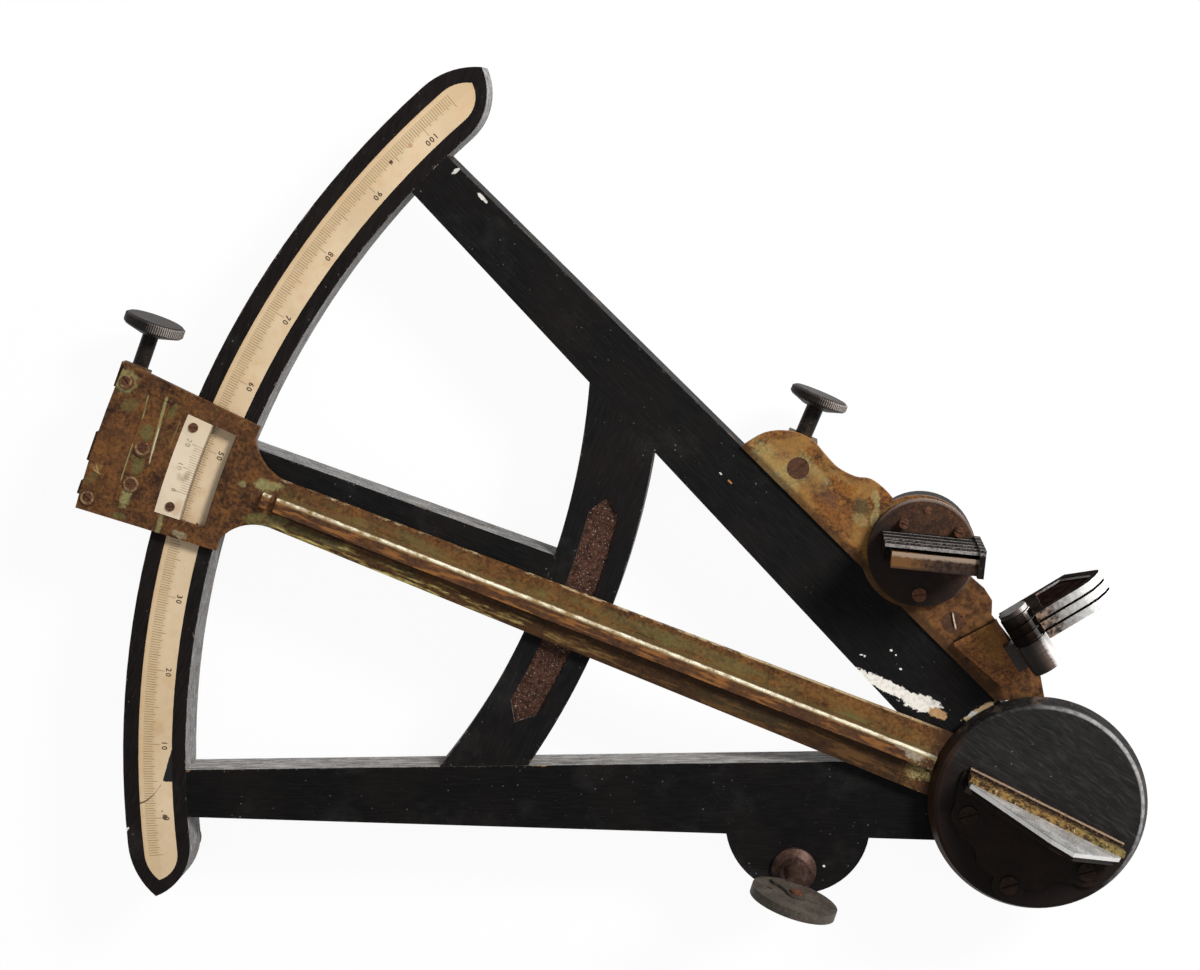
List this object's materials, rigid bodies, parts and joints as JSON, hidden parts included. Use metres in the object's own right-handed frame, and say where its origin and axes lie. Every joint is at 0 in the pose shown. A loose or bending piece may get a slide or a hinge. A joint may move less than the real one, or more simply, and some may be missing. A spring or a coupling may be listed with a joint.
{
  "type": "octant",
  "caption": "Reflecting octant with a curved scale, a swinging index arm with a mirror at its pivot, a horizon mirror, folding shades and a peep sight.",
  "frame": {"origin": "on the index arm's pivot axis, on the flat underside of the foot below the pivot", "axes": "+Z out of the scale face, +X from the pivot towards the middle of the limb, +Y towards the zero end of the scale"},
  "size_m": [0.3196, 0.256, 0.068],
  "materials": {
    "ebony": "worn satin",
    "black_disc": "black lacquer over brass, worn at the rim",
    "ivory": "yellowed polished ivory",
    "old_brass": "tarnished",
    "patinated_brass": "brown patina with verdigris",
    "brass_screws": "dull",
    "darkened_metal": "grey-brown, bright at worn edges",
    "silvered_glass": "old silvering",
    "tinted_glass": "dark tinted"
  },
  "bodies": {
    "frame": {"limb": "ebony", "upper_leg": "ebony", "lower_leg": "ebony", "cross_brace": "ebony", "centre_strut": "ebony", "ivory_scale": "ivory", "apex_foot": "old_brass", "limb_feet": "ebony", "back_plate": "old_brass", "back_plate_screws": "old_brass", "bush": "old_brass", "horizon_plate": "patinated_brass", "horizon_plate_screws": "brass_screws", "adjuster_bracket": "old_brass", "shade_block": "patinated_brass", "shade_bracket": "darkened_metal", "shade_pin": "darkened_metal", "sight_stem": "old_brass", "sight_disc": "darkened_metal", "sight_rivet": "brass_screws"},
    "sight_shutter": {"sight_shutter": "brass_screws"},
    "index_arm": {"index_arm": "patinated_brass", "pivot_disc": "black_disc", "axle": "darkened_metal", "axle_washer": "old_brass", "axle_nut": "darkened_metal", "mirror_base": "patinated_brass", "mirror_base_screws": "brass_screws", "mirror_frame": "patinated_brass", "mirror_glass": "silvered_glass", "vernier": "ivory", "vernier_screws": "brass_screws", "slide_strip": "patinated_brass", "slide_strip_screws": "brass_screws", "end_plate_screws": "brass_screws", "tangent_bearings": "old_brass"},
    "clamp": {"clamp_shoe": "old_brass"},
    "clamp_screw": {"clamp_screw": "old_brass"},
    "tangent_screw": {"tangent_screw": "darkened_metal", "tangent_head": "darkened_metal"},
    "horizon_turret": {"turret_base": "patinated_brass", "turret_stem": "old_brass", "turret_screws": "brass_screws", "turret_lever": "old_brass", "horizon_frame": "darkened_metal", "horizon_glass": "silvered_glass"},
    "adjusting_screw": {"adjusting_screw": "darkened_metal", "adjusting_head": "darkened_metal"},
    "shade_one": {"shade_one": "darkened_metal", "shade_one_glass": "tinted_glass"},
    "shade_two": {"shade_two": "darkened_metal", "shade_two_glass": "tinted_glass"},
    "shade_three": {"shade_three": "darkened_metal", "shade_three_glass": "tinted_glass"}
  },
  "joints": [
    {"name": "index_arm_swing", "type": "hinge", "parent": "frame", "child": "index_arm", "pos_m": [0, 0, 0.022], "axis": [0, 0, 1], "range_deg": [-25.5, 22]},
    {"name": "clamp_traverse", "type": "hinge", "parent": "index_arm", "child": "clamp", "pos_m": [0, 0, 0.014], "axis": [0, 0, 1], "range_deg": [-1, 1]},
    {"name": "clamp_screw_turn", "type": "hinge", "parent": "clamp", "child": "clamp_screw", "pos_m": [0.25074, 0.00757, 0.012], "axis": [0, 0, 1], "range_deg": [-360, 90]},
    {"name": "tangent_screw_turn", "type": "hinge", "parent": "index_arm", "child": "tangent_screw", "pos_m": [0.28069, -0.02476, 0.018], "axis": [-0.0262, 0.9997, 0], "range_deg": [-1750, 1750]},
    {"name": "horizon_mirror_turn", "type": "hinge", "parent": "frame", "child": "horizon_turret", "pos_m": [0.057, -0.0521, 0.029], "axis": [0, 0, 1], "range_deg": [-4, 4]},
    {"name": "adjusting_screw_turn", "type": "hinge", "parent": "frame", "child": "adjusting_screw", "pos_m": [0.099, -0.0785, 0.018], "axis": [0, 1, 0], "range_deg": [-1050, 1050]},
    {"name": "sight_shutter_swing", "type": "hinge", "parent": "frame", "child": "sight_shutter", "pos_m": [0.0536, 0.0456, 0.056], "axis": [0.0872, -0.9962, 0], "range_deg": [-40, 50]},
    {"name": "shade_one_swing", "type": "hinge", "parent": "frame", "child": "shade_one", "pos_m": [0.02807, -0.04747, 0.0439], "axis": [-0.8192, 0.5736, 0], "range_deg": [0, 180]},
    {"name": "shade_two_swing", "type": "hinge", "parent": "frame", "child": "shade_two", "pos_m": [0.02582, -0.04589, 0.0439], "axis": [-0.8192, 0.5736, 0], "range_deg": [0, 180]},
    {"name": "shade_three_swing", "type": "hinge", "parent": "frame", "child": "shade_three", "pos_m": [0.02357, -0.04432, 0.0439], "axis": [-0.8192, 0.5736, 0], "range_deg": [0, 180]}
  ],
  "couplings": [
    {"joint": "clamp_traverse", "follows": "tangent_screw_turn", "ratio": -0.0005685},
    {"joint": "horizon_mirror_turn", "follows": "adjusting_screw_turn", "ratio": -0.003771}
  ]
}
